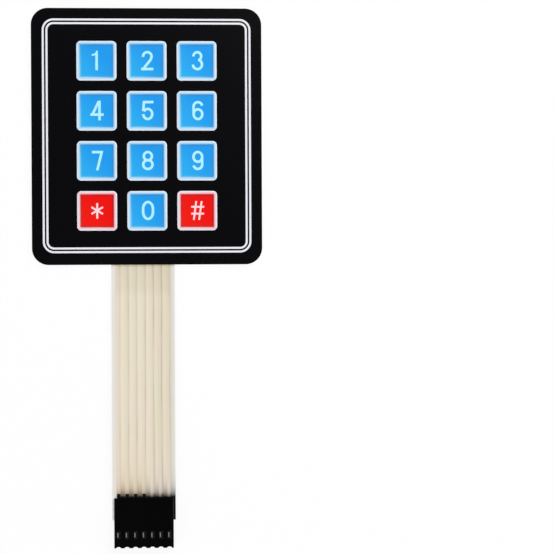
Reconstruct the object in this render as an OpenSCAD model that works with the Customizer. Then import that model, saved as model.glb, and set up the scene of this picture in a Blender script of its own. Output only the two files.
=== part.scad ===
// Membrane matrix keypad: a pad of bonded films with raised key rims, a flat film tail and a
// seven-way socket connector. It lies face up with the back of its liner on z = 0.
// The origin is the middle of the pad's back. +Y points to the top row of keys.

/* [Pad] */
// Width of the pad
pad_w = 69; // [62:0.5:90]
// Height of the pad
pad_h = 77; // [75:0.5:100]
// Corner radius of the pad
pad_r = 5; // [1:0.5:8]

/* [Keys] */
// Distance between neighbouring keys, across and down
key_pitch = 15; // [14:0.1:15.5]
// Width of a key over its white frame
key_w = 11.95; // [9:0.05:13]
// Height of a key over its white frame
key_h = 11.85; // [9:0.05:13]
// Width of the white frame round a key
frame_w = 0.95; // [0.8:0.05:1.8]
// Corner radius of the coloured face inside the frame
face_r = 0.3; // [0.3:0.05:2]
// Height of the raised rim above the film
rim_h = 0.2; // [0.1:0.01:0.3]
// Width of the slope on each side of the rim
rim_slope = 0.25; // [0.1:0.05:0.25]
// How far the keys and the border are printed above the pad's middle
print_y = 0.2; // [-0.5:0.05:0.5]

/* [Border] */
// Distance from the pad's side to the outer line
border_side = 3.25; // [2:0.05:4]
// Mean distance from the pad's top and bottom to the outer line
border_end = 3.35; // [2:0.05:4]
// Width of each border line
border_line_w = 0.6; // [0.3:0.05:0.8]
// Gap between the two border lines
border_gap = 0.5; // [0.3:0.05:0.8]
// Corner radius inside the inner line
border_r = 1.7; // [0.5:0.1:4]

/* [Layers] */
// Thickness of the paper liner
liner_t = 0.12; // [0.08:0.01:0.2]
// Thickness of the rear adhesive
rear_adhesive_t = 0.08; // [0.04:0.01:0.2]
// Thickness of each circuit film
circuit_t = 0.125; // [0.07:0.005:0.2]
// Thickness of the spacer between the circuit films
spacer_t = 0.15; // [0.1:0.01:0.25]
// Thickness of the adhesive under the overlay
overlay_adhesive_t = 0.08; // [0.04:0.01:0.15]
// Thickness of the overlay film
overlay_t = 0.18; // [0.1:0.01:0.3]
// Thickness of a printed layer
print_t = 0.03; // [0.01:0.005:0.04]

/* [Circuit] */
// Width of a trace inside the pad
trace_w = 0.8; // [0.4:0.1:1]
// Distance between neighbouring traces
trace_pitch = 1.6; // [1.3:0.1:1.7]
// Distance from the pad's edge to the outermost trace
trace_margin = 3.5; // [2:0.1:4]
// Diameter of the silver patch under a key
patch_d = 7; // [4:0.5:9]
// Diameter of the spacer's hole under a key
hole_d = 10; // [9.5:0.5:12]
// Width of the air channels between the spacer's holes
vent_w = 1; // [0.5:0.1:2]

/* [Tail] */
// Width of the tail
tail_w = 19; // [18.5:0.1:22]
// Place of the tail's middle across the pad
tail_x = -1.4; // [-5:0.1:5]
// Distance from the pad's edge to the mating face
tail_reach = 85; // [60:1:200]
// Flat stretch at each end of the tail's gentle rise
tail_lead = 3; // [2:0.5:8]
// Width of a conductor in the tail
conductor_w = 1.2; // [0.8:0.1:1.6]
// Length of the black finger that shows before the connector
finger_show = 1.3; // [0.5:0.1:2]
// Height of the liner's notch at the tail
notch_h = 2.5; // [1:0.1:4]
// Length of the liner's peel cut beside the notch
peel_l = 5.9; // [2:0.1:10]
// Width of the peel cut
peel_w = 0.15; // [0.1:0.05:0.4]

/* [Connector] */
// Distance between neighbouring ways
way_pitch = 2.54; // [2.4:0.01:2.6]
// Length of the housing
housing_l = 15; // [14:0.1:20]
// Thickness of the housing
housing_t = 2.54; // [2.4:0.02:3]
// Chamfer along the housing's edges
housing_chamfer = 0.15; // [0.05:0.05:0.25]
// How far the film reaches into the housing
film_depth = 6.7; // [6:0.1:7]
// Width of a cavity
cavity_w = 2; // [1.9:0.02:2.1]
// Height of a cavity
cavity_h = 1.9; // [1.8:0.02:2]
// Thickness of the wall at the mating face
mate_wall = 0.6; // [0.5:0.05:0.8]
// Side of the square pin entry
entry_w = 1; // [0.8:0.05:1.1]
// Depth of the round lead-in
lead_in_d = 0.35; // [0.2:0.05:0.45]
// Diameter of the lead-in at the mating face
lead_in_w = 1.7; // [1.6:0.05:1.8]
// Width of a scoop in the front edge
scoop_w = 1.6; // [1:0.05:1.8]
// Depth of a scoop
scoop_d = 0.45; // [0.2:0.05:0.5]
// Width of a window
window_w = 1.2; // [1:0.05:1.4]
// Length of a window
window_l = 2.4; // [2:0.1:3]
// Distance from the mating face to a window's middle
window_y = 3.9; // [3.6:0.1:4.2]
// Gap all round the film in its slot
film_gap = 0.1; // [0.05:0.01:0.15]

/* [Contacts] */
// Thickness of the contact's sheet metal
metal_t = 0.2; // [0.15:0.01:0.22]
// Gap between a contact and its cavity, above and below
contact_gap = 0.1; // [0.05:0.01:0.15]
// Length of the contact's box
box_l = 6.2; // [5.8:0.1:6.6]
// Width of the lance in the window
lance_w = 0.3; // [0.3:0.05:0.6]
// Place of the lance across its way
lance_x = -0.2; // [-0.2:0.05:0.2]
// Length of the lance
lance_l = 1.4; // [1.2:0.1:2]
// Height of the lance's free end over the box
lance_h = 0.2; // [0.15:0.01:0.3]
// Gap round the lance in the slot that it leaves
lance_gap = 0.05; // [0.03:0.01:0.1]
// Width of the neck and of the spring
neck_w = 0.9; // [0.6:0.05:1]
// Width of the crimp
crimp_w = 1.6; // [1.5:0.02:1.7]
// Length of one pair of claws
claw_l = 1.4; // [1:0.1:1.6]
// Distance between the two pairs of claws
claw_pitch = 2.8; // [2.2:0.1:3]
// Gap between the tips of a pair of claws
claw_split = 0.25; // [0.1:0.05:0.4]
// Gap round a claw where it goes through the film
pierce_gap = 0.03; // [0.02:0.01:0.05]

/* [Hidden] */
$fn = 64;

// Counts that the node names follow
columns = 3;
rows = 4;
ways = columns + rows;
// Straight pieces that make up the tail's rise
tail_steps = 24;
// Overlap that lets two lengths of one piece fuse
fuse = 1;
// Overlap that lets a printed floor and its slopes fuse
print_fuse = 0.02;
// Extra length that carries a cut clear of a face
cut = 1;

// Heights of the layers, from the back
adhesive_z = liner_t;
lower_z = adhesive_z + rear_adhesive_t;
spacer_z = lower_z + circuit_t;
upper_z = spacer_z + spacer_t;
overlay_adhesive_z = upper_z + circuit_t;
overlay_z = overlay_adhesive_z + overlay_adhesive_t;
front_z = overlay_z + overlay_t;
row_trace_z = upper_z - print_t;
stack_t = 2 * circuit_t + spacer_t;

// Places along the tail
edge_y = -pad_h / 2;
mate_y = edge_y - tail_reach;
rear_y = mate_y + housing_l;
film_end_y = rear_y - film_depth;
finger_y = rear_y + finger_show;
rise_from_y = edge_y - tail_lead;
rise_to_y = rear_y + tail_lead;
housing_mid = housing_t / 2;
tail_rise = housing_mid - lower_z - stack_t / 2;
housing_w = ways * way_pitch;

// Sizes that follow the keys
face_w = key_w - 2 * frame_w;
face_h = key_h - 2 * frame_w;
frame_r = face_r + frame_w;
floor_r = face_r - rim_slope;

// Places and sizes inside the connector
box_w = cavity_w - 2 * contact_gap;
box_h = cavity_h - 2 * contact_gap;
box_y = mate_y + mate_wall + contact_gap;
lance_y = mate_y + window_y - lance_l / 2;
scoop_r = (pow(scoop_w / 2, 2) + pow(scoop_d, 2)) / (2 * scoop_d);
film_under_z = housing_mid - stack_t / 2;
claw_mid_y = (rear_y + film_end_y) / 2;
crimp_l = claw_pitch + claw_l;
crimp_h = stack_t + 2 * metal_t;
spring_dip = box_h / 3;

function key_x(column) = (column - (columns - 1) / 2) * key_pitch;
function key_y(row) = print_y + ((rows - 1) / 2 - row) * key_pitch;
function way_x(way) = tail_x + (way - (ways - 1) / 2) * way_pitch;
function row_way(row) = row;
function column_way(column) = rows + column;
function is_red(column, row) = row == rows - 1 && column != 1;

// Height that the tail has gained at a place along it
function rise(y) =
    let (part = min(1, max(0, (rise_from_y - y) / (rise_from_y - rise_to_y))))
    tail_rise * part * part * (3 - 2 * part);

// Places along the tail from y0 down to y1, with the steps of the rise between them
function stations(y0, y1) = concat(
    [y0],
    [for (i = [0:tail_steps])
        let (y = rise_from_y + (rise_to_y - rise_from_y) * i / tail_steps)
        if (y < y0 && y > y1) y],
    [y1]);

// Rectangle with round corners, centred
module rounded(w, h, r) {
    square([w - 2 * r, h], center = true);
    square([w, h - 2 * r], center = true);
    for (x = [-1, 1], y = [-1, 1]) translate([x * (w / 2 - r), y * (h / 2 - r)]) circle(r);
}

module pad_outline() {
    rounded(pad_w, pad_h, pad_r);
}

// Ring of the border, so far inside its outer edge
module border_ring(inset, inner_r) {
    w = pad_w - 2 * (border_side + inset);
    h = pad_h - 2 * (border_end + inset);
    translate([0, print_y]) difference() {
        rounded(w, h, inner_r + border_line_w);
        rounded(w - 2 * border_line_w, h - 2 * border_line_w, inner_r);
    }
}

module border_lines() {
    step = border_line_w + border_gap;
    border_ring(0, border_r + step);
    border_ring(step, border_r);
}

module at_keys() {
    for (column = [0:columns - 1], row = [0:rows - 1])
        translate([key_x(column), key_y(row)]) children();
}

module key_outline() {
    rounded(key_w, key_h, frame_r);
}

// Flat floor of a key, inside the rim's inner slope
module floor_outline() {
    rounded(face_w - 2 * rim_slope, face_h - 2 * rim_slope, floor_r);
}

// Strip that follows the tail, as wide as given and centred on x
module tail_strip(x, w, y0, y1, z, t) {
    places = stations(y0, y1);
    last = len(places) - 1;
    under = [for (y = places) [y, z + rise(y)]];
    over = [for (i = [last:-1:0]) [places[i], z + t + rise(places[i])]];
    translate([x - w / 2, 0, 0]) rotate([90, 0, 90])
        linear_extrude(w) polygon(concat(under, over));
}

// Full-width tongue of a film, from inside the pad to its end in the connector
module tongue(z, t) {
    tail_strip(tail_x, tail_w, edge_y + fuse, film_end_y, z, t);
}

// Track with square corners through points that lie level or plumb with each other
module track(points) {
    for (i = [1:len(points) - 1]) {
        low = [min(points[i - 1].x, points[i].x), min(points[i - 1].y, points[i].y)];
        high = [max(points[i - 1].x, points[i].x), max(points[i - 1].y, points[i].y)];
        translate(low - [trace_w, trace_w] / 2) square(high - low + [trace_w, trace_w]);
    }
}

// Slots that the claws of every contact make in the film
module pierced_slots() {
    slot_w = metal_t + 2 * pierce_gap;
    slot_l = claw_l + 2 * pierce_gap;
    for (way = [0:ways - 1], side = [-1, 1], pair = [-1, 1])
        translate([
            way_x(way) + side * (crimp_w - metal_t) / 2,
            claw_mid_y + pair * claw_pitch / 2,
            housing_mid
        ]) cube([slot_w, slot_l, stack_t + 2 * cut], center = true);
}

// Profile swept round a key, with its x measured from the corner's centre
module round_key() {
    for (side = [0:3]) {
        run = side % 2 == 0 ? key_h - 2 * frame_r : key_w - 2 * frame_r;
        reach = side % 2 == 0 ? key_w / 2 - frame_r : key_h / 2 - frame_r;
        rotate([0, 0, 90 * side]) translate([reach, run / 2, 0]) {
            rotate([90, 0, 0]) linear_extrude(run) children();
            rotate_extrude(angle = 90) children();
        }
    }
}

// Height profile of the rim, closed by a flat base that lies a depth below it
module rim_profile(z, depth) {
    polygon([
        [floor_r, z - depth], [frame_r, z - depth], [frame_r, z],
        [frame_r - rim_slope, z + rim_h], [face_r, z + rim_h], [floor_r, z]
    ]);
}

// White skin over the rim's outer slope and its flat top
module frame_skin(z, t) {
    polygon([
        [face_r, z + rim_h], [frame_r - rim_slope, z + rim_h], [frame_r, z],
        [frame_r, z + t], [frame_r - rim_slope, z + rim_h + t], [face_r, z + rim_h + t]
    ]);
}

// Coloured skin over the rim's inner slope, with a lip that fuses to the floor
module slope_skin(z, t) {
    polygon([
        [floor_r - print_fuse, z], [floor_r, z], [face_r, z + rim_h],
        [face_r, z + rim_h + t], [floor_r, z + t], [floor_r - print_fuse, z + t]
    ]);
}

module back_layer(z, t) {
    difference() {
        translate([0, 0, z]) linear_extrude(t) pad_outline();
        translate([tail_x - tail_w / 2, edge_y - cut, z - cut])
            cube([tail_w, notch_h + cut, t + 2 * cut]);
        children();
    }
}

module release_liner() {
    color("whitesmoke") back_layer(0, liner_t)
        translate([tail_x - tail_w / 2 - peel_l, edge_y + notch_h - peel_w, -cut])
            cube([peel_l + cut, peel_w, liner_t + 2 * cut]);
}

module rear_adhesive() {
    color("ivory") back_layer(adhesive_z, rear_adhesive_t);
}

module lower_circuit_film() {
    color("cornsilk") difference() {
        union() {
            translate([0, 0, lower_z]) linear_extrude(circuit_t) pad_outline();
            tongue(lower_z, circuit_t);
        }
        pierced_slots();
    }
}

module upper_circuit_film() {
    color("cornsilk") difference() {
        union() {
            translate([0, 0, upper_z]) linear_extrude(circuit_t) pad_outline();
            tongue(upper_z, circuit_t);
        }
        pierced_slots();
    }
}

// Silver circuit of one key column, down to where its finger starts
module column_trace(column) {
    x = key_x(column);
    exit_x = way_x(column_way(column));
    turn_y = edge_y + trace_margin + (rows - 1 + (column == 1 ? 1 : 0)) * trace_pitch;
    color("silver") {
        translate([0, 0, spacer_z]) linear_extrude(print_t) {
            track([[x, key_y(0)], [x, turn_y], [exit_x, turn_y], [exit_x, edge_y + fuse]]);
            for (row = [0:rows - 1]) translate([x, key_y(row)]) circle(d = patch_d);
        }
        tail_strip(exit_x, conductor_w, edge_y + 2 * fuse, finger_y, spacer_z, print_t);
    }
}

// Silver circuit of one key row, round the left side and down to where its finger starts
module row_trace(row) {
    y = key_y(row);
    bus_x = -pad_w / 2 + trace_margin + row * trace_pitch;
    exit_x = way_x(row_way(row));
    turn_y = edge_y + trace_margin + row * trace_pitch;
    color("silver") {
        translate([0, 0, row_trace_z]) linear_extrude(print_t) {
            track([
                [key_x(columns - 1), y], [bus_x, y], [bus_x, turn_y],
                [exit_x, turn_y], [exit_x, edge_y + fuse]
            ]);
            for (column = [0:columns - 1]) translate([key_x(column), y]) circle(d = patch_d);
        }
        tail_strip(exit_x, conductor_w, edge_y + 2 * fuse, finger_y, row_trace_z, print_t);
    }
}

module fingers(first, last, z) {
    color("black") difference() {
        for (way = [first:last])
            tail_strip(way_x(way), conductor_w, finger_y, film_end_y, z, print_t);
        pierced_slots();
    }
}

module row_fingers() {
    fingers(row_way(0), row_way(rows - 1), row_trace_z);
}

module column_fingers() {
    fingers(column_way(0), column_way(columns - 1), spacer_z);
}

// Spacer with a hole under each key and a tongue between the films. Air channels run down each
// column and across the top row, like a comb, so that the spacer stays in one piece.
module spacer() {
    color("linen") difference() {
        union() {
            translate([0, 0, spacer_z]) linear_extrude(spacer_t) difference() {
                pad_outline();
                at_keys() circle(d = hole_d);
                translate([0, key_y(0)])
                    square([key_x(columns - 1) - key_x(0), vent_w], center = true);
                for (column = [0:columns - 1]) translate([key_x(column), 0])
                    square([vent_w, key_y(0) - key_y(rows - 1)], center = true);
            }
            tongue(spacer_z, spacer_t);
        }
        for (column = [0:columns - 1]) column_trace(column);
        for (row = [0:rows - 1]) row_trace(row);
        row_fingers();
        column_fingers();
        pierced_slots();
    }
}

module overlay_adhesive() {
    color("ivory") translate([0, 0, overlay_adhesive_z]) linear_extrude(overlay_adhesive_t)
        difference() {
            pad_outline();
            at_keys() key_outline();
        }
}

// Overlay with a raised rim on each key, formed from the back
module overlay_film() {
    color("dimgray") difference() {
        union() {
            translate([0, 0, overlay_z]) linear_extrude(overlay_t) pad_outline();
            at_keys() round_key() rim_profile(front_z, overlay_t / 2);
        }
        at_keys() round_key() rim_profile(overlay_z, cut);
    }
}

module black_print() {
    color("black") translate([0, 0, front_z]) linear_extrude(print_t) difference() {
        pad_outline();
        border_lines();
        at_keys() key_outline();
    }
}

module border_print() {
    color("lavender") translate([0, 0, front_z]) linear_extrude(print_t) border_lines();
}

module key_frame_print() {
    color("lavender") at_keys() round_key() frame_skin(front_z, print_t);
}

// Shallow dishes of one colour inside the rims
module key_faces(red) {
    for (column = [0:columns - 1], row = [0:rows - 1])
        if (is_red(column, row) == red) translate([key_x(column), key_y(row)]) {
            translate([0, 0, front_z]) linear_extrude(print_t) floor_outline();
            round_key() slope_skin(front_z, print_t);
        }
}

module blue_print() {
    color("dodgerblue") key_faces(false);
}

module red_print() {
    color("red") key_faces(true);
}

module housing_body() {
    c = housing_chamfer;
    x = housing_w / 2;
    z = housing_t / 2;
    translate([tail_x, rear_y, housing_mid]) rotate([90, 0, 0]) linear_extrude(housing_l)
        polygon([
            [-x + c, -z], [x - c, -z], [x, -z + c], [x, z - c],
            [x - c, z], [-x + c, z], [-x, z - c], [-x, -z + c]
        ]);
}

// Everything that is open in one way of the housing
module way_cuts() {
    cavity_l = housing_l - mate_wall;
    translate([-cavity_w / 2, mate_y + mate_wall, housing_mid - cavity_h / 2])
        cube([cavity_w, cavity_l + cut, cavity_h]);
    translate([-entry_w / 2, mate_y - cut, housing_mid - entry_w / 2])
        cube([entry_w, mate_wall + 2 * cut, entry_w]);
    translate([0, mate_y, housing_mid]) rotate([-90, 0, 0])
        cylinder(h = lead_in_d, d1 = lead_in_w, d2 = entry_w);
    translate([-window_w / 2, mate_y + window_y - window_l / 2, housing_mid])
        cube([window_w, window_l, housing_t]);
    translate([0, mate_y + scoop_d - scoop_r, housing_mid + entry_w / 2])
        cylinder(h = housing_t, r = scoop_r);
}

// Socket housing with a slot at its rear, open at both sides, that the film slides into
module connector_housing() {
    slot_l = film_depth + film_gap;
    slot_h = stack_t + 2 * film_gap;
    color([0.08, 0.08, 0.09]) difference() {
        housing_body();
        for (way = [0:ways - 1]) translate([way_x(way), 0, 0]) way_cuts();
        translate([tail_x - tail_w / 2 - cut, rear_y - slot_l, housing_mid - slot_h / 2])
            cube([tail_w + 2 * cut, slot_l + cut, slot_h]);
    }
}

// Hollow box that grips the pin, with the slot that its lance leaves
module contact_box() {
    inner_w = box_w - 2 * metal_t;
    inner_h = box_h - 2 * metal_t;
    difference() {
        translate([-box_w / 2, box_y, housing_mid - box_h / 2]) cube([box_w, box_l, box_h]);
        translate([-inner_w / 2, box_y - cut, housing_mid - inner_h / 2])
            cube([inner_w, box_l + 2 * cut, inner_h]);
        translate([lance_x - lance_w / 2 - lance_gap, lance_y, housing_mid])
            cube([lance_w + 2 * lance_gap, lance_l + lance_gap, box_h]);
    }
}

// Strip of sheet metal through points in the YZ plane, each the strip's lower side
module bent_strip(w, points) {
    last = len(points) - 1;
    over = [for (i = [last:-1:0]) points[i] + [0, metal_t]];
    translate([-w / 2, 0, 0]) rotate([90, 0, 90]) linear_extrude(w) polygon(concat(points, over));
}

// Profile of the crimp, closed under the film and folded over it
module crimp_profile() {
    difference() {
        translate([0, film_under_z + stack_t / 2]) rounded(crimp_w, crimp_h, metal_t);
        translate([0, film_under_z + stack_t / 2])
            square([crimp_w - 2 * metal_t, stack_t], center = true);
        translate([-claw_split / 2, film_under_z]) square([claw_split, crimp_h]);
    }
}

module contact(way) {
    box_rear_y = box_y + box_l;
    floor_z = housing_mid - box_h / 2;
    roof_z = housing_mid + box_h / 2 - metal_t;
    plate_z = film_under_z - metal_t;
    crimp_y = claw_mid_y - crimp_l / 2;
    color("silver") translate([way_x(way), 0, 0]) {
        contact_box();
        translate([lance_x, 0, 0]) bent_strip(lance_w, [
            [lance_y - metal_t, roof_z], [lance_y, roof_z], [lance_y + lance_l, roof_z + lance_h]
        ]);
        bent_strip(neck_w, [
            [box_y + metal_t, roof_z], [box_y + box_l / 3, roof_z - spring_dip],
            [box_y + 2 * box_l / 3, roof_z - spring_dip], [box_rear_y - metal_t, roof_z]
        ]);
        bent_strip(neck_w, [
            [box_rear_y - metal_t, floor_z], [box_rear_y, floor_z],
            [crimp_y, plate_z], [crimp_y + crimp_l, plate_z]
        ]);
        for (pair = [-1, 1]) translate([0, claw_mid_y + pair * claw_pitch / 2 + claw_l / 2, 0])
            rotate([90, 0, 0]) linear_extrude(claw_l) crimp_profile();
    }
}

release_liner();
rear_adhesive();
lower_circuit_film();
column_trace(0);  // column_trace_1
column_trace(1);  // column_trace_2
column_trace(2);  // column_trace_3
spacer();
row_trace(0);  // row_trace_1
row_trace(1);  // row_trace_2
row_trace(2);  // row_trace_3
row_trace(3);  // row_trace_4
upper_circuit_film();
overlay_adhesive();
overlay_film();
black_print();
border_print();
key_frame_print();
blue_print();
red_print();
column_fingers();
row_fingers();
connector_housing();
contact(0);  // contact_1
contact(1);  // contact_2
contact(2);  // contact_3
contact(3);  // contact_4
contact(4);  // contact_5
contact(5);  // contact_6
contact(6);  // contact_7
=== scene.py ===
import math

import bpy
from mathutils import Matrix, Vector


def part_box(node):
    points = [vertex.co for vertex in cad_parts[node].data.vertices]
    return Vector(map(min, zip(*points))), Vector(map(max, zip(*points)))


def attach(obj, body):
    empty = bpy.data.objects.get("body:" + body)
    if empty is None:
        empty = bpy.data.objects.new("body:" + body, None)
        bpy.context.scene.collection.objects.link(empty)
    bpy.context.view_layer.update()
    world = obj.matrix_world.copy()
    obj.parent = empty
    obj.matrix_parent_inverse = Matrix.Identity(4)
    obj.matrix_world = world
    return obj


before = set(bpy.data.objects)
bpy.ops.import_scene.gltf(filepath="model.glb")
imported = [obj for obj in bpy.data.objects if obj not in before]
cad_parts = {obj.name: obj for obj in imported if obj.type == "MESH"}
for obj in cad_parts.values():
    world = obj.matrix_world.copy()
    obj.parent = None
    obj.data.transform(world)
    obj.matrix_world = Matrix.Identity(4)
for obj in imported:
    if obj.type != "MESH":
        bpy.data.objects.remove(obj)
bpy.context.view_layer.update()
mm = 0.001

# The tail's layout, from the part: seven ways across, and the rear of the housing
housingLow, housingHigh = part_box("connector_housing")
tail = {
    "middle": (housingLow.x + housingHigh.x) / 2,
    "pitch": 2.54 * mm,
    "toColumns": 2.5 * mm,  # row looks turn into column looks from the tail's middle to here
    "rear": housingHigh.y,
}

# The keys' layout, from the part
keyLow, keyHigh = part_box("key_frame_print")
keys = {
    "middle": (keyLow + keyHigh) / 2,
    "pitch": 15 * mm,
    "face": 10.0 * mm,  # inside the white frame
    "outer": 11.9 * mm,  # over the frame
    "bend": 0.8 * mm,  # how far the painted shade and light of the film's bend reach into the face
    "redRow": -15 * mm,  # below this height the outer keys are red
    "redFrom": 7.5 * mm,  # and so far out from the middle
}


def linear(code):
    # sRGB hex to the linear colour that a shader takes
    parts = [int(code[i:i + 2], 16) / 255 for i in (1, 3, 5)]
    return [c / 12.92 if c <= 0.04045 else ((c + 0.055) / 1.055) ** 2.4 for c in parts] + [1.0]


def addNode(tree, kind, settings=None, links=None):
    # settings are a node's own values or its sockets' values; links feed a socket from an output
    node = tree.nodes.new("ShaderNode" + kind)
    for name, value in (settings or {}).items():
        if isinstance(name, str) and hasattr(node, name):
            setattr(node, name, value)
        else:
            node.inputs[name].default_value = value
    for name, source in (links or {}).items():
        tree.links.new(source, node.inputs[name])
    return node


def startMaterial(name, settings):
    # a new material with one shader, its fixed sockets set and its normal left open
    material = bpy.data.materials.new(name)
    material.use_nodes = True
    shader = material.node_tree.nodes["Principled BSDF"]
    for socket, value in settings.items():
        shader.inputs[socket].default_value = value
    return material, material.node_tree, shader


def mixColours(tree, first, second, amount):
    # first and second are hex colours or outputs; amount is a number or an output.
    # A Mix node takes its colours at sockets 6 and 7 and the amount at 0, and gives a colour at 2.
    mix = addNode(tree, "Mix", {"data_type": "RGBA"})
    for socket, source in ((6, first), (7, second), (0, amount)):
        if isinstance(source, bpy.types.NodeSocket):
            tree.links.new(source, mix.inputs[socket])
        else:
            mix.inputs[socket].default_value = linear(source) if isinstance(source, str) else source
    return mix.outputs[2]


def mixNumbers(tree, first, second, amount):
    # all three are outputs; a Mix node takes numbers at sockets 2 and 3 and gives one at 0
    return addNode(tree, "Mix", links={2: first, 3: second, 0: amount}).outputs[0]


def calculate(tree, operation, *terms):
    # one Math node; its terms are outputs or numbers
    node = addNode(tree, "Math", {"operation": operation})
    for socket, term in zip(node.inputs, terms):
        if isinstance(term, bpy.types.NodeSocket):
            tree.links.new(term, socket)
        else:
            socket.default_value = term
    return node.outputs[0]


def ramp(tree, source, start, end, low=0.0, high=1.0, kind="LINEAR"):
    # straight from low at start to high at end, level beyond them
    node = addNode(
        tree, "MapRange",
        {"interpolation_type": kind, "From Min": start, "From Max": end, "To Min": low, "To Max": high},
        {"Value": source},
    )
    return node.outputs["Result"]


def smooth(tree, source, start, end, low=0.0, high=1.0):
    # like ramp, but eased at both ends
    return ramp(tree, source, start, end, low, high, "SMOOTHSTEP")


def band(tree, source, middle, half, soft):
    # 1 within half of middle, falling to 0 over soft
    away = calculate(tree, "ABSOLUTE", calculate(tree, "SUBTRACT", source, middle))
    return smooth(tree, away, half, half + soft, 1.0, 0.0)


noiseSpread = (0.3, 0.7)  # nearly all of a noise lies between these


def stretchedNoise(tree, place, patch, shift=0.0):
    # noise whose patches have the given real width and length, spread from 0 to 1
    mapping = addNode(
        tree, "Mapping", {"Location": (shift, shift, 0), "Scale": (1 / patch[0], 1 / patch[1], 1)},
        {"Vector": place},
    )
    noise = addNode(tree, "TexNoise", {"Scale": 1.0, "Detail": 2.0}, {"Vector": mapping.outputs[0]})
    return ramp(tree, noise.outputs["Fac"], noiseSpread[0], noiseSpread[1])


def cloudy(tree, place, tones, size, detail):
    # two close tones in soft clouds of a real size
    cloud = addNode(tree, "TexNoise", {"Scale": 1 / size, "Detail": detail}, {"Vector": place})
    return mixColours(tree, tones[0], tones[1], cloud.outputs["Fac"])


def wear(tree, shader, place, size, rough, depth):
    # fine grain of a real size: it varies the roughness and lifts the surface by depth
    grain = addNode(tree, "TexNoise", {"Scale": 1 / size, "Detail": 3.0}, {"Vector": place})
    varied = ramp(tree, grain.outputs["Fac"], 0, 1, rough[0], rough[1])
    tree.links.new(varied, shader.inputs["Roughness"])
    bump = addNode(tree, "Bump", {"Distance": depth}, {"Height": grain.outputs["Fac"]})
    tree.links.new(bump.outputs["Normal"], shader.inputs["Normal"])
    return grain, bump


# Screen-printed inks on polyester: even colour, the mesh leaves a fine orange peel, satin gloss
inkSettings = {
    "blackInk": {"tones": ("#050507", "#07070A"), "rough": (0.19, 0.25)},
    "whiteInk": {"tones": ("#E9EAF1", "#EEEFF4"), "rough": (0.30, 0.40)},
    "frameInk": {
        "tones": ("#E6EFFA", "#ECF3FB"), "rough": (0.26, 0.36),
        # painted shade and reflection of the blue or red face on the frame, and how much of it at the top
        # right and bottom left
        "paintedNearBlue": "#8ECCF5", "paintedNearRed": "#FFA0AE", "paintedTintShare": (1.0, 0.72),
    },
    # light is a face's colour in painted light at its bottom left; the two edge tones are painted shade at
    # its top right and painted light at its bottom left, where the film bends up to the frame
    "blueInk": {
        "tones": ("#1C99EE", "#229DF0"), "rough": (0.26, 0.34),
        "light": "#2CAFF4", "edges": ("#3A8CCC", "#66C4EA"),
    },
    "redInk": {
        "tones": ("#EE0C06", "#F0100A"), "rough": (0.26, 0.34),
        "light": "#F6180E", "edges": ("#B01210", "#B83A34"),
    },
    "legendOnBlue": {"tones": ("#B8F6FF", "#AEF2FF"), "rough": (0.30, 0.40)},
    "legendOnRed": {"tones": ("#FFDFE4", "#FFD6DC"), "rough": (0.30, 0.40)},
}
inkGrain = {
    "ior": 1.5,
    "mesh": 0.35 * mm,  # real mesh marks are near 0.1 mm, drawn coarser so that they show
    "depth": 0.004 * mm,
    "cloud": 6 * mm,
    "cloudDetail": 4.0,
}

# Painted light and shade on each face: lighter towards the bottom left, darker towards the top right
paintedLightSlope = {
    "towards": (-0.75, -0.66, 0),
    "start": -keys["face"] / 3,
    "end": keys["face"] * 0.66,
}


def insideKey(tree, place):
    # the place as seen from the middle of the key that it lies on; with four rows the middle of them
    # all lies half a pitch from a key's own
    half = keys["pitch"] / 2
    toKey = (-keys["middle"].x, half - keys["middle"].y, 0)
    moved = addNode(tree, "VectorMath", {"operation": "ADD", 1: toKey}, {0: place})
    local = addNode(
        tree, "VectorMath",
        {"operation": "WRAP", 1: (half, half, half), 2: (-half, -half, -half)},
        {0: moved.outputs["Vector"]},
    )
    return local.outputs["Vector"]


def fromKeyMiddle(tree, place):
    # square distance: the larger of how far across and how far up
    apart = addNode(tree, "SeparateXYZ", links={0: insideKey(tree, place)})
    across = calculate(tree, "ABSOLUTE", apart.outputs["X"])
    up = calculate(tree, "ABSOLUTE", apart.outputs["Y"])
    return calculate(tree, "MAXIMUM", across, up)


def isRedKey(tree, place):
    apart = addNode(tree, "SeparateXYZ", links={0: place})
    low = calculate(tree, "LESS_THAN", apart.outputs["Y"], keys["redRow"])
    out = calculate(tree, "GREATER_THAN", calculate(tree, "ABSOLUTE", apart.outputs["X"]), keys["redFrom"])
    return calculate(tree, "MULTIPLY", low, out)


def paintedLightSide(tree, place):
    # painted light: 0 at the top right of each key's face and 1 at its bottom left
    slope = addNode(
        tree, "VectorMath", {"operation": "DOT_PRODUCT", 1: paintedLightSlope["towards"]},
        {0: insideKey(tree, place)},
    )
    return smooth(tree, slope.outputs["Value"], paintedLightSlope["start"], paintedLightSlope["end"])


def faceInkWithPaintedLight(tree, place, ink, colour):
    # painted light towards the bottom left, and painted shade and light in its own tones where the film
    # bends up to the frame
    litSide = paintedLightSide(tree, place)
    colour = mixColours(tree, colour, ink["light"], litSide)
    edge = mixColours(tree, ink["edges"][0], ink["edges"][1], litSide)
    half = keys["face"] / 2
    bent = smooth(tree, fromKeyMiddle(tree, place), half - keys["bend"], half)
    return mixColours(tree, colour, edge, bent)


def frameInk(tree, place, ink, colour):
    # painted shade and reflection of the face of its key, most of all where it meets that face
    tint = mixColours(tree, ink["paintedNearBlue"], ink["paintedNearRed"], isRedKey(tree, place))
    close = smooth(tree, fromKeyMiddle(tree, place), keys["outer"] / 2, keys["face"] / 2)
    share = ramp(tree, paintedLightSide(tree, place), 0, 1, ink["paintedTintShare"][0], ink["paintedTintShare"][1])
    return mixColours(tree, colour, tint, calculate(tree, "MULTIPLY", close, share))


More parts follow.
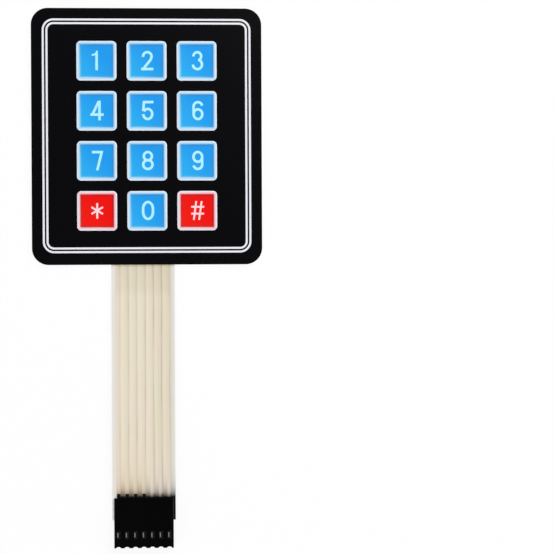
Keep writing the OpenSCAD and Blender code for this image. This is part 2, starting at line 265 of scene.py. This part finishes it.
def screenInk(name):
    ink = inkSettings[name]
    material, tree, shader = startMaterial(name, {"IOR": inkGrain["ior"]})
    place = addNode(tree, "TexCoord").outputs["Object"]
    colour = cloudy(tree, place, ink["tones"], inkGrain["cloud"], inkGrain["cloudDetail"])
    if "light" in ink:
        colour = faceInkWithPaintedLight(tree, place, ink, colour)
    if "paintedTintShare" in ink:
        colour = frameInk(tree, place, ink, colour)
    tree.links.new(colour, shader.inputs["Base Color"])
    wear(tree, shader, place, inkGrain["mesh"], ink["rough"], inkGrain["depth"])
    return material


# Painted shade: a dark line beside each track of the tail, with a softer painted shadow on its left; it
# wanders and comes and goes
trackShadeSettings = {
    "colour": "#BDB093",
    "pitch": 2.51 * mm,
    "first": 0.56 * mm,  # from the tail's middle
    "sway": 0.3 * mm,
    "swayPatch": (3 * mm, 30 * mm),  # width and length
    "line": {"middle": 0, "half": 0.05 * mm, "soft": 0.2 * mm},
    "shadow": {"middle": -0.15 * mm, "half": 0.05 * mm, "soft": 0.5 * mm},
    "shadowShare": 0.5,
    "least": (0.10, 0.32),  # weakest strength at the left and at the right of the tail
    "leastOut": 8 * mm,  # those two lie this far out from the tail's middle
    "vary": 0.42,
    "varyPatch": (4 * mm, 16 * mm),
    "varyShift": 3.0,
    # how much painted shade darkens the film half a pitch left of a line; that fades away half a pitch
    # right of it
    "beside": 0.14,
}


def paintedTrackShade(tree, place, across):
    trackShade = trackShadeSettings
    reach = trackShade["pitch"] / 2
    sway = stretchedNoise(tree, place, trackShade["swayPatch"])
    swayed = calculate(tree, "MULTIPLY_ADD", sway, trackShade["sway"], across)
    fromLine = calculate(tree, "SUBTRACT", swayed, trackShade["first"] + trackShade["sway"] / 2)
    inLine = calculate(tree, "WRAP", fromLine, reach, -reach)
    shadow = calculate(tree, "MULTIPLY", band(tree, inLine, **trackShade["shadow"]), trackShade["shadowShare"])
    line = calculate(tree, "MAXIMUM", band(tree, inLine, **trackShade["line"]), shadow)
    atLeft, atRight = trackShade["least"]
    least = ramp(tree, across, -trackShade["leastOut"], trackShade["leastOut"], atLeft, atRight)
    strength = stretchedNoise(tree, place, trackShade["varyPatch"], trackShade["varyShift"])
    strength = calculate(tree, "MULTIPLY_ADD", strength, trackShade["vary"], least)
    beside = ramp(tree, inLine, -reach, reach, trackShade["beside"], 0.0)
    return calculate(tree, "ADD", calculate(tree, "MULTIPLY", line, strength), beside)


# The middle of the tail: cream in long warm and cool patches, with a tint near the housing
creamSettings = {
    "tones": ("#F0E1D1", "#EAE5CC"),
    "patch": (1.3 * mm, 24 * mm),  # width and length
    "shift": 7.0,
    "tints": ("#E8CFB4", "#EFE3DE"),  # over the rows and over the columns
    "tintReach": 6 * mm,
    "tintShare": 0.9,
    # painted shade: it darkens a little towards its right, and before the pad and again close to it
    "shades": [
        {"axis": "across", "start": 2.4 * mm, "end": 4.2 * mm, "amount": 0.1},
        {"axis": "along", "start": 60 * mm, "end": 63 * mm, "amount": 0.15},
        {"axis": "along", "start": 64 * mm, "end": 69 * mm, "amount": 0.06},
    ],
}


def creamColour(tree, place, across, along):
    cream = creamSettings
    patches = stretchedNoise(tree, place, cream["patch"], cream["shift"])
    colour = mixColours(tree, cream["tones"][0], cream["tones"][1], patches)
    onColumns = ramp(tree, across, 0, tail["toColumns"])
    tint = mixColours(tree, cream["tints"][0], cream["tints"][1], onColumns)
    near = calculate(tree, "EXPONENT", calculate(tree, "MULTIPLY", along, -1 / cream["tintReach"]))
    colour = mixColours(tree, colour, tint, calculate(tree, "MULTIPLY", near, cream["tintShare"]))
    dark = paintedTrackShade(tree, place, across)
    axes = {"across": across, "along": along}
    for shade in cream["shades"]:
        more = ramp(tree, axes[shade["axis"]], shade["start"], shade["end"], 0, shade["amount"])
        dark = calculate(tree, "ADD", dark, more)
    return mixColours(tree, colour, trackShadeSettings["colour"], dark)


# The clear margins of the tail, the left one lit and the right one in painted shade: each tone pair is
# first for the outer edge, then for the cream's side
marginSettings = {
    "leftTonesLit": ("#EBE7E6", "#E8DFD3"),
    "rightTonesInPaintedShade": ("#E8E6E2", "#DAD3C4"),
    "left": -8.1 * mm,  # where the cream begins and ends, from the tail's middle
    "right": 8.05 * mm,
    "soft": 0.12 * mm,  # half the width of that change
    "edge": 9.4 * mm,  # the film's own edge
    "paintedLightBesideHousing": "#FFFFFF",  # painted light: the left margin there is white where the housing's shade falls
    "besideFade": 1 * mm,  # either way from the rear of the housing
}


def marginColour(tree, across, along, onRight):
    margin = marginSettings
    inwards = ramp(tree, across, -margin["edge"], margin["left"])
    left = mixColours(tree, margin["leftTonesLit"][0], margin["leftTonesLit"][1], inwards)
    beside = ramp(tree, along, margin["besideFade"], -margin["besideFade"])
    left = mixColours(tree, left, margin["paintedLightBesideHousing"], beside)
    inwards = ramp(tree, across, margin["edge"], margin["right"])
    right = mixColours(tree, margin["rightTonesInPaintedShade"][0], margin["rightTonesInPaintedShade"][1], inwards)
    return mixColours(tree, left, right, onRight)


# Painted shade: close to the housing the film darkens, as less light comes through it
housingShadeSettings = {
    "dark": "#12100E",
    "gapStart": 0.25 * mm,  # light comes through the clear film from here
    "gapReach": 2.1 * mm,
    "trackStart": 0.1 * mm,
    "trackReach": (1.1 * mm, 1.0 * mm),  # over the row ways and over the column ways
}


def lightThrough(tree, along, start, reach):
    # 0 up to start, then rising to 1 as light comes through the film
    past = calculate(tree, "DIVIDE", calculate(tree, "SUBTRACT", start, along), reach)
    lost = calculate(tree, "EXPONENT", past)
    return calculate(tree, "MAXIMUM", calculate(tree, "SUBTRACT", 1.0, lost), 0.0)


def lightNearHousing(tree, across, along, track):
    housing = housingShadeSettings
    gapLight = lightThrough(tree, along, housing["gapStart"], housing["gapReach"])
    overRows, overColumns = housing["trackReach"]
    reach = ramp(tree, across, 0, tail["toColumns"], overRows, overColumns)
    trackLight = lightThrough(tree, along, housing["trackStart"], reach)
    return mixNumbers(tree, gapLight, trackLight, track)


# Black ends of the conductors: bars on the film that carries them, and beside each a thin dark line of
# painted shadow that both films show
fingerSettings = {
    "colour": "#0E0A08",
    "length": 1.2 * mm,
    "bar": {"middle": 0, "half": 0.44 * mm, "soft": 0.08 * mm},
    "edge": {"middle": 0.45 * mm, "half": 0.06 * mm, "soft": 0.14 * mm},
}


def fingersShown(tree, across, along, inWay, side):
    finger = fingerSettings
    carries = calculate(tree, "LESS_THAN", across, tail["pitch"] / 2)
    if side < 0:
        carries = calculate(tree, "SUBTRACT", 1.0, carries)
    bar = calculate(tree, "MULTIPLY", band(tree, inWay, **finger["bar"]), carries)
    shown = calculate(tree, "MAXIMUM", bar, band(tree, inWay, **finger["edge"]))
    return calculate(tree, "MULTIPLY", shown, calculate(tree, "LESS_THAN", along, finger["length"]))


# Two polyester films bonded over silver tracks
filmSettings = {
    "ior": 1.575,
    "grain": 2 * mm,
    "rough": (0.28, 0.38),
    "depth": 0.01 * mm,
    "halfTrack": 0.55 * mm,
    "trackSoft": 0.15 * mm,
    "ridge": 0.02 * mm,  # how far a track lifts the film
}


def circuitFilm(name, side):
    # side is 1 for the film that faces forward and -1 for the one that faces the back
    film, margin = filmSettings, marginSettings
    material, tree, shader = startMaterial(name, {"IOR": film["ior"]})
    place = addNode(tree, "TexCoord").outputs["Object"]
    apart = addNode(tree, "SeparateXYZ", links={0: place})
    across = calculate(tree, "SUBTRACT", apart.outputs["X"], tail["middle"])
    along = calculate(tree, "SUBTRACT", apart.outputs["Y"], tail["rear"])
    half = tail["pitch"] / 2
    inWay = calculate(tree, "WRAP", across, half, -half)
    pastLeft = ramp(tree, across, margin["left"] - margin["soft"], margin["left"] + margin["soft"])
    beforeRight = ramp(tree, across, margin["right"] + margin["soft"], margin["right"] - margin["soft"])
    inCream = calculate(tree, "MULTIPLY", pastLeft, beforeRight)
    track = band(tree, inWay, 0, film["halfTrack"], film["trackSoft"])
    track = calculate(tree, "MULTIPLY", track, inCream)

    margins = marginColour(tree, across, along, pastLeft)
    colour = mixColours(tree, margins, creamColour(tree, place, across, along), inCream)
    # the left margin keeps out of the painted shade near the housing
    light = lightNearHousing(tree, across, along, track)
    light = calculate(tree, "MAXIMUM", light, calculate(tree, "SUBTRACT", 1.0, pastLeft))
    colour = mixColours(tree, housingShadeSettings["dark"], colour, light)
    black = calculate(tree, "MULTIPLY", fingersShown(tree, across, along, inWay, side), inCream)
    colour = mixColours(tree, colour, fingerSettings["colour"], black)
    tree.links.new(colour, shader.inputs["Base Color"])

    bump = wear(tree, shader, place, film["grain"], film["rough"], film["depth"])[1]
    ridge = addNode(
        tree, "Bump", {"Distance": film["ridge"]}, {"Height": track, "Normal": bump.outputs["Normal"]},
    )
    tree.links.new(ridge.outputs["Normal"], shader.inputs["Normal"])
    return material


# Plain stock: two close tones, a typical IOR and a grain of real size; cloud, grain and depth in mm
stockSettings = {
    # siliconed release paper: blue-white, satin, cloudy where its fibres bunch
    "releasePaper": {
        "tones": ("#EAEAF0", "#F1F1F5"), "cloud": 4.0, "ior": 1.5,
        "grain": 0.4, "rough": (0.38, 0.5), "depth": 0.006,
    },
    # acrylic adhesive: faintly yellow, glossy, soft at its cut edge
    "acrylicAdhesive": {
        "tones": ("#E9E2CE", "#EFE9D8"), "cloud": 1.5, "ior": 1.47,
        "grain": 0.6, "rough": (0.2, 0.32), "depth": 0.01,
    },
    # matt white polyester spacer
    "spacerFilm": {
        "tones": ("#E6DECB", "#ECE5D6"), "cloud": 3.0, "ior": 1.575,
        "grain": 0.5, "rough": (0.35, 0.45), "depth": 0.004,
    },
    # hard-coated polyester of the overlay, tinted by the black behind it
    "hardCoatFilm": {
        "tones": ("#1B1C20", "#232429"), "cloud": 3.0, "ior": 1.575,
        "grain": 0.5, "rough": (0.25, 0.35), "depth": 0.004,
    },
    # carbon ink: dead black and a little grainy
    "carbonInk": {
        "tones": ("#0C0B0B", "#151414"), "cloud": 0.8, "ior": 1.5,
        "grain": 0.15, "rough": (0.6, 0.75), "depth": 0.006,
    },
    # moulded nylon: black, satin, with the fine spark texture of its mould
    "mouldedNylon": {
        "tones": ("#020202", "#030303"), "cloud": 5.0, "ior": 1.53, "specular": 0.3,
        "grain": 0.25, "rough": (0.2, 0.27), "depth": 0.002,
    },
}
usualSpecular = 0.5
stockDetail = 5.0


def plainStock(name):
    stock = stockSettings[name]
    material, tree, shader = startMaterial(
        name, {"IOR": stock["ior"], "Specular IOR Level": stock.get("specular", usualSpecular)},
    )
    place = addNode(tree, "TexCoord").outputs["Object"]
    colour = cloudy(tree, place, stock["tones"], stock["cloud"] * mm, stockDetail)
    tree.links.new(colour, shader.inputs["Base Color"])
    wear(tree, shader, place, stock["grain"] * mm, stock["rough"], stock["depth"] * mm)
    return material


# Metals: silver flake ink on the films, and tin plate with the draw lines of the strip
metalSettings = {
    "silverInk": {
        "tones": ("#B9B7B0", "#CFCDC8"), "stretch": (1, 1, 1),
        "grain": 0.12, "rough": (0.45, 0.6), "depth": 0.003,
    },
    "tinPlate": {
        "tones": ("#C4C3BF", "#D9D8D4"), "stretch": (6, 1, 6),
        "grain": 0.5, "rough": (0.07, 0.1), "depth": 0.001,
    },
}


def metal(name):
    settings = metalSettings[name]
    material, tree, shader = startMaterial(name, {"Metallic": 1.0})
    place = addNode(tree, "TexCoord").outputs["Object"]
    drawn = addNode(tree, "Mapping", {"Scale": settings["stretch"]}, {"Vector": place}).outputs[0]
    grain = wear(tree, shader, drawn, settings["grain"] * mm, settings["rough"], settings["depth"] * mm)[0]
    colour = mixColours(tree, settings["tones"][0], settings["tones"][1], grain.outputs["Fac"])
    tree.links.new(colour, shader.inputs["Base Color"])
    return material


# The camera looks almost straight down, from over the pad's lower edge and right of its middle
cameraSettings = {
    "place": (0.018, -0.039, 0.450),
    "turn": (-0.42, -2.67, -0.25),  # degrees away from straight down
    "lens": 96.8,
}


def placeCamera():
    bpy.ops.object.camera_add(
        location=cameraSettings["place"], rotation=[math.radians(a) for a in cameraSettings["turn"]],
    )
    camera = bpy.context.object
    camera.name = "camera"
    camera.data.lens = cameraSettings["lens"]
    bpy.context.scene.camera = camera


# A ring of pale walls, open overhead, so that the black print has nothing bright to mirror
tentSettings = {
    "wallTop": 22,  # degrees above the table, where the wall begins to fade
    "openFrom": 52,  # and where it has faded to the open top
    "wall": 1.0,  # brightness
    "overhead": 0.016,
}


def placeTent():
    world = bpy.data.worlds.new("tent")
    world.use_nodes = True
    bpy.context.scene.world = world
    tree = world.node_tree
    direction = addNode(tree, "TexCoord").outputs["Generated"]
    up = addNode(tree, "SeparateXYZ", links={0: direction}).outputs["Z"]
    wallTop = math.sin(math.radians(tentSettings["wallTop"]))
    openFrom = math.sin(math.radians(tentSettings["openFrom"]))
    light = smooth(tree, up, wallTop, openFrom, tentSettings["wall"], tentSettings["overhead"])
    background = tree.nodes["Background"]
    background.inputs["Color"].default_value = (1, 1, 1, 1)
    tree.links.new(light, background.inputs["Strength"])


# Soft boxes round the table: the key stands past the top right of the keys
lampSettings = {
    "keyLamp": {"azimuth": 50, "height": 38, "away": 0.9, "size": 0.90, "power": 7.45},
    "fillLamp": {"azimuth": 235, "height": 35, "away": 1.0, "size": 0.80, "power": 4.8},
    # a faint one for the glints of the contacts
    "glintLamp": {"azimuth": 265, "height": 59, "away": 0.84, "size": 0.08, "power": 0.007},
}
stageMiddle = Vector((0, -0.04, 0))  # near the middle of the part; the lamps aim here


def placeLamps():
    for name, lamp in lampSettings.items():
        turn, rise = math.radians(lamp["azimuth"]), math.radians(lamp["height"])
        toLamp = Vector((math.cos(turn) * math.cos(rise), math.sin(turn) * math.cos(rise), math.sin(rise)))
        aim = toLamp.to_track_quat("Z", "Y").to_euler()
        bpy.ops.object.light_add(type="AREA", location=stageMiddle + toLamp * lamp["away"], rotation=aim)
        light = bpy.context.object
        light.name = name
        light.data.size = lamp["size"]
        light.data.energy = lamp["power"]


# White paper table, level with the back of the pad
tableSettings = {
    "size": 3.0,
    "below": 0.02 * mm,  # a hair under the part, so that no two faces share a plane
    "colour": "#FAFAFB",
    "glow": 0.88,  # share of plain white that the camera and reflections see
}


def placeTable():
    bpy.ops.mesh.primitive_plane_add(
        size=tableSettings["size"], location=stageMiddle - Vector((0, 0, tableSettings["below"])),
    )
    table = bpy.context.object
    table.name = "table"
    material = bpy.data.materials.new("whiteTable")
    material.use_nodes = True
    tree = material.node_tree
    tree.nodes.remove(tree.nodes["Principled BSDF"])
    paper = addNode(tree, "BsdfDiffuse", {"Color": linear(tableSettings["colour"])})
    white = addNode(tree, "Emission", {"Strength": 1.0})
    ray = addNode(tree, "LightPath").outputs
    seen = calculate(tree, "MAXIMUM", ray["Is Camera Ray"], ray["Is Glossy Ray"])
    seen = calculate(tree, "MAXIMUM", seen, ray["Is Transmission Ray"])
    share = calculate(tree, "MULTIPLY", seen, tableSettings["glow"])
    mixed = addNode(tree, "MixShader", links={0: share, 1: paper.outputs[0], 2: white.outputs[0]})
    tree.links.new(mixed.outputs[0], tree.nodes["Material Output"].inputs["Surface"])
    table.data.materials.append(material)


# Legends, row by row from the top
legendRows = [["1", "2", "3"], ["4", "5", "6"], ["7", "8", "9"], ["star", "0", "hash"]]
redLegends = ("star", "hash")

# Figures of the legends: centre lines of their strokes, in mm from the middle of each figure.
# A stroke that runs past the top or the foot of its figure is cut level there.
figureSettings = {
    "stroke": 0.76,
    "tall": 5.85,
    "thick": 0.02,
    "raise": 0.09,  # above the middle of the key
    "past": 3.6,
    "arcStep": 6,  # degrees
    "blank": 1.0,  # half the thickness of a stroke before it is cut
    "blankStep": 0.1,  # each further stroke is this much thicker, so that no faces lie flush
    "closedGap": 0.05,  # a line whose ends are closer than this is a ring
    "strokeWeld": 0.001,  # share of the stroke's width within which points are one
    "weld": 0.002,
    "level": 0.5,  # degrees up to which faces count as one
}


def arc(x, y, radiusX, radiusY, start, end):
    # points along part of an oval, in the order that they are drawn
    count = max(2, round(abs(end - start) / figureSettings["arcStep"]))
    angles = [math.radians(start + (end - start) * i / count) for i in range(count + 1)]
    return [(x + radiusX * math.cos(a), y + radiusY * math.sin(a)) for a in angles]


def figures():
    # shift is how far right of its key's middle a figure stands; strokes are the widths of its lines
    past = figureSettings["past"]
    return {
        "1": {"shift": 0.05, "strokes": (0.76, 0.52), "lines": [
            [(0.02, -past), (0.02, 2.2)],
            arc(-1.38, 2.9, 1.52, 1.26, -92, 0) + [(0.14, past)],
        ]},
        "2": {"shift": 0.22, "lines": [
            arc(0.02, 1.28, 1.26, 1.26, 188, -14) + [(0.95, 0.2), (-1.45, -2.8)],
            [(-1.84, -2.54), (1.8, -2.54)],
        ]},
        "3": {"shift": 0.25, "lines": [
            arc(-0.03, 1.3, 1.16, 1.24, 182, -62),
            arc(0, -1.14, 1.36, 1.4, 82, -178),
        ]},
        "4": {"shift": 0.11, "lines": [
            [(0.75, -past), (0.75, past)],
            [(0.97, past), (-1.385, -1.22)],
            [(-1.98, -1.22), (1.98, -1.22)],
        ]},
        "5": {"shift": 0.27, "lines": [
            [(-1.15, 2.54), (1.72, 2.54)],
            [(-1.0, past), (-1.36, -0.1)],
            arc(0, -1.02, 1.34, 1.52, 150, -178),
        ]},
        "6": {"shift": 0.33, "lines": [
            arc(0, -1.08, 1.3, 1.46, 0, 360),
            arc(0, 1.2, 1.3, 1.34, 12, 180) + [(-1.29, -1.0)],
        ]},
        "7": {"shift": 0.27, "lines": [
            [(-1.75, 2.54), (1.4, 2.54)],
            [(-0.35, -past), (1.45, past)],
        ]},
        "8": {"shift": 0.24, "lines": [
            arc(0, 1.3, 1.2, 1.24, 0, 360),
            arc(0, -1.2, 1.38, 1.34, 0, 360),
        ]},
        "9": {"shift": 0.23, "lines": [
            arc(0, 1.08, 1.3, 1.46, 0, 360),
            arc(0, -1.2, 1.3, 1.34, 192, 360) + [(1.29, 1.0)],
        ]},
        "star": {"shift": 0.01, "raise": 0.1, "stroke": 0.58, "lines": [
            [(0, -2.42), (0, 2.24)],
            [(-1.72, -1.03), (1.72, 1.03)],
            [(-1.72, 1.03), (1.72, -1.03)],
        ]},
        "0": {"shift": 0.22, "stroke": 0.78, "lines": [
            arc(0, 0.5, 1.46, 2.03, 0, 180) + arc(0, -0.5, 1.46, 2.03, 180, 360) + [(1.46, 0.5)],
        ]},
        "hash": {"shift": 0.09, "raise": 0.04, "stroke": 0.56, "tall": 5.67, "lines": [
            [(-1.25, -past), (-0.3, past)],
            [(0.35, -past), (1.34, past)],
            [(-1.88, 1.1), (1.98, 1.1)],
            [(-1.92, -0.95), (1.95, -0.95)],
        ]},
    }


def pick(piece):
    # makes it the active piece and the only selected one
    bpy.ops.object.select_all(action="DESELECT")
    bpy.context.view_layer.objects.active = piece
    piece.select_set(True)


def addLine(curve, points, closed):
    line = curve.splines.new("POLY")
    line.points.add(len(points) - 1)
    line.use_cyclic_u = closed
    for point, (x, y) in zip(line.points, points):
        point.co = (x, y, 0, 1)


def drawStroke(points, width, blank):
    # one stroke: an upright section swept along its centre line, made a mesh
    section = bpy.data.curves.new("section", "CURVE")
    side = width / 2
    addLine(section, [(-side, -blank), (side, -blank), (side, blank), (-side, blank)], True)
    sectionObject = bpy.data.objects.new("section", section)

    path = bpy.data.curves.new("stroke", "CURVE")
    path.dimensions = "3D"
    path.twist_mode = "Z_UP"
    path.bevel_mode = "OBJECT"
    path.bevel_object = sectionObject
    path.use_fill_caps = True
    closed = math.dist(points[0], points[-1]) < figureSettings["closedGap"]
    addLine(path, points[:-1] if closed else points, closed)
    stroke = bpy.data.objects.new("stroke", path)
    bpy.context.collection.objects.link(stroke)
    pick(stroke)
    bpy.ops.object.convert(target="MESH")
    bpy.data.objects.remove(sectionObject)
    bpy.ops.object.mode_set(mode="EDIT")
    bpy.ops.mesh.select_all(action="SELECT")
    bpy.ops.mesh.remove_doubles(threshold=width * figureSettings["strokeWeld"])
    bpy.ops.mesh.normals_make_consistent(inside=False)
    bpy.ops.object.mode_set(mode="OBJECT")
    return bpy.context.object


def joinStrokes(strokes):
    # union of overlapping strokes
    whole = strokes[0]
    for stroke in strokes[1:]:
        pick(whole)
        union = whole.modifiers.new("union", "BOOLEAN")
        union.operation = "UNION"
        union.solver = "EXACT"
        union.object = stroke
        bpy.ops.object.modifier_apply(modifier=union.name)
        bpy.data.objects.remove(stroke)
    return whole


def finishFigure(figure, tall, place):
    # cuts the figure to its height and thickness, cleans it, turns its faces outwards and places it
    half, thick = tall / 2, figureSettings["thick"]
    cuts = [
        ((0, half, 0), (0, 1, 0)),
        ((0, -half, 0), (0, -1, 0)),
        ((0, 0, thick), (0, 0, 1)),
        ((0, 0, 0), (0, 0, -1)),
    ]
    pick(figure)
    bpy.ops.object.mode_set(mode="EDIT")
    for point, outward in cuts:
        bpy.ops.mesh.select_all(action="SELECT")
        bpy.ops.mesh.bisect(plane_co=point, plane_no=outward, use_fill=True, clear_outer=True)
    bpy.ops.mesh.select_all(action="SELECT")
    bpy.ops.mesh.remove_doubles(threshold=figureSettings["weld"])
    bpy.ops.mesh.dissolve_limited(angle_limit=math.radians(figureSettings["level"]))
    bpy.ops.mesh.normals_make_consistent(inside=False)
    bpy.ops.object.mode_set(mode="OBJECT")
    figure.location = place
    figure.scale = (mm, mm, mm)
    bpy.ops.object.transform_apply(location=True, rotation=True, scale=True)
    bpy.ops.object.shade_flat()


def makeLegend(name, shape, keyMiddle, material):
    # a figure's own values go before the usual ones
    usual = figureSettings
    lines = shape["lines"]
    widths = shape.get("strokes") or [shape.get("stroke", usual["stroke"])] * len(lines)
    blanks = [usual["blank"] + n * usual["blankStep"] for n in range(len(lines))]
    legend = joinStrokes([drawStroke(*stroke) for stroke in zip(lines, widths, blanks)])
    legend.name = "legend_" + name
    x, y, z = keyMiddle
    place = (x + shape["shift"] * mm, y + shape.get("raise", usual["raise"]) * mm, z)
    finishFigure(legend, shape.get("tall", usual["tall"]), place)
    legend.data.materials.clear()
    legend.data.materials.append(material)
    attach(legend, "root")


def makeLegends(materials):
    shapes = figures()
    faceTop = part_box("black_print")[1].z
    for row, names in enumerate(legendRows):
        y = keys["middle"].y + ((len(legendRows) - 1) / 2 - row) * keys["pitch"]
        for column, name in enumerate(names):
            x = keys["middle"].x + (column - (len(names) - 1) / 2) * keys["pitch"]
            material = materials["legendOnRed" if name in redLegends else "legendOnBlue"]
            makeLegend(name, shapes[name], (x, y, faceTop), material)


# Which material each piece of the part wears
finishes = {
    "releasePaper": ["release_liner"],
    "acrylicAdhesive": ["rear_adhesive", "overlay_adhesive"],
    "upperFilm": ["upper_circuit_film"],
    "lowerFilm": ["lower_circuit_film"],
    "spacerFilm": ["spacer"],
    "silverInk": ["column_trace_%d" % n for n in (1, 2, 3)] + ["row_trace_%d" % n for n in (1, 2, 3, 4)],
    "carbonInk": ["column_fingers", "row_fingers"],
    "hardCoatFilm": ["overlay_film"],
    "blackInk": ["black_print"],
    "whiteInk": ["border_print"],
    "frameInk": ["key_frame_print"],
    "blueInk": ["blue_print"],
    "redInk": ["red_print"],
    "mouldedNylon": ["connector_housing"],
    "tinPlate": ["contact_%d" % n for n in range(1, 8)],
}


def makeMaterials():
    made = {name: screenInk(name) for name in inkSettings}
    made.update({name: plainStock(name) for name in stockSettings})
    made.update({name: metal(name) for name in metalSettings})
    made["upperFilm"] = circuitFilm("upperFilm", 1)
    made["lowerFilm"] = circuitFilm("lowerFilm", -1)
    return made


def dressPart(materials):
    for finish, nodes in finishes.items():
        for name in nodes:
            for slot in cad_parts[name].material_slots:
                slot.material = materials[finish]


bpy.context.scene.view_settings.view_transform = "Standard"
placeCamera()
placeTent()
placeLamps()
placeTable()
print("stage set")
materials = makeMaterials()
dressPart(materials)
print("part dressed in", len(materials), "materials")
makeLegends(materials)
print("legends printed")
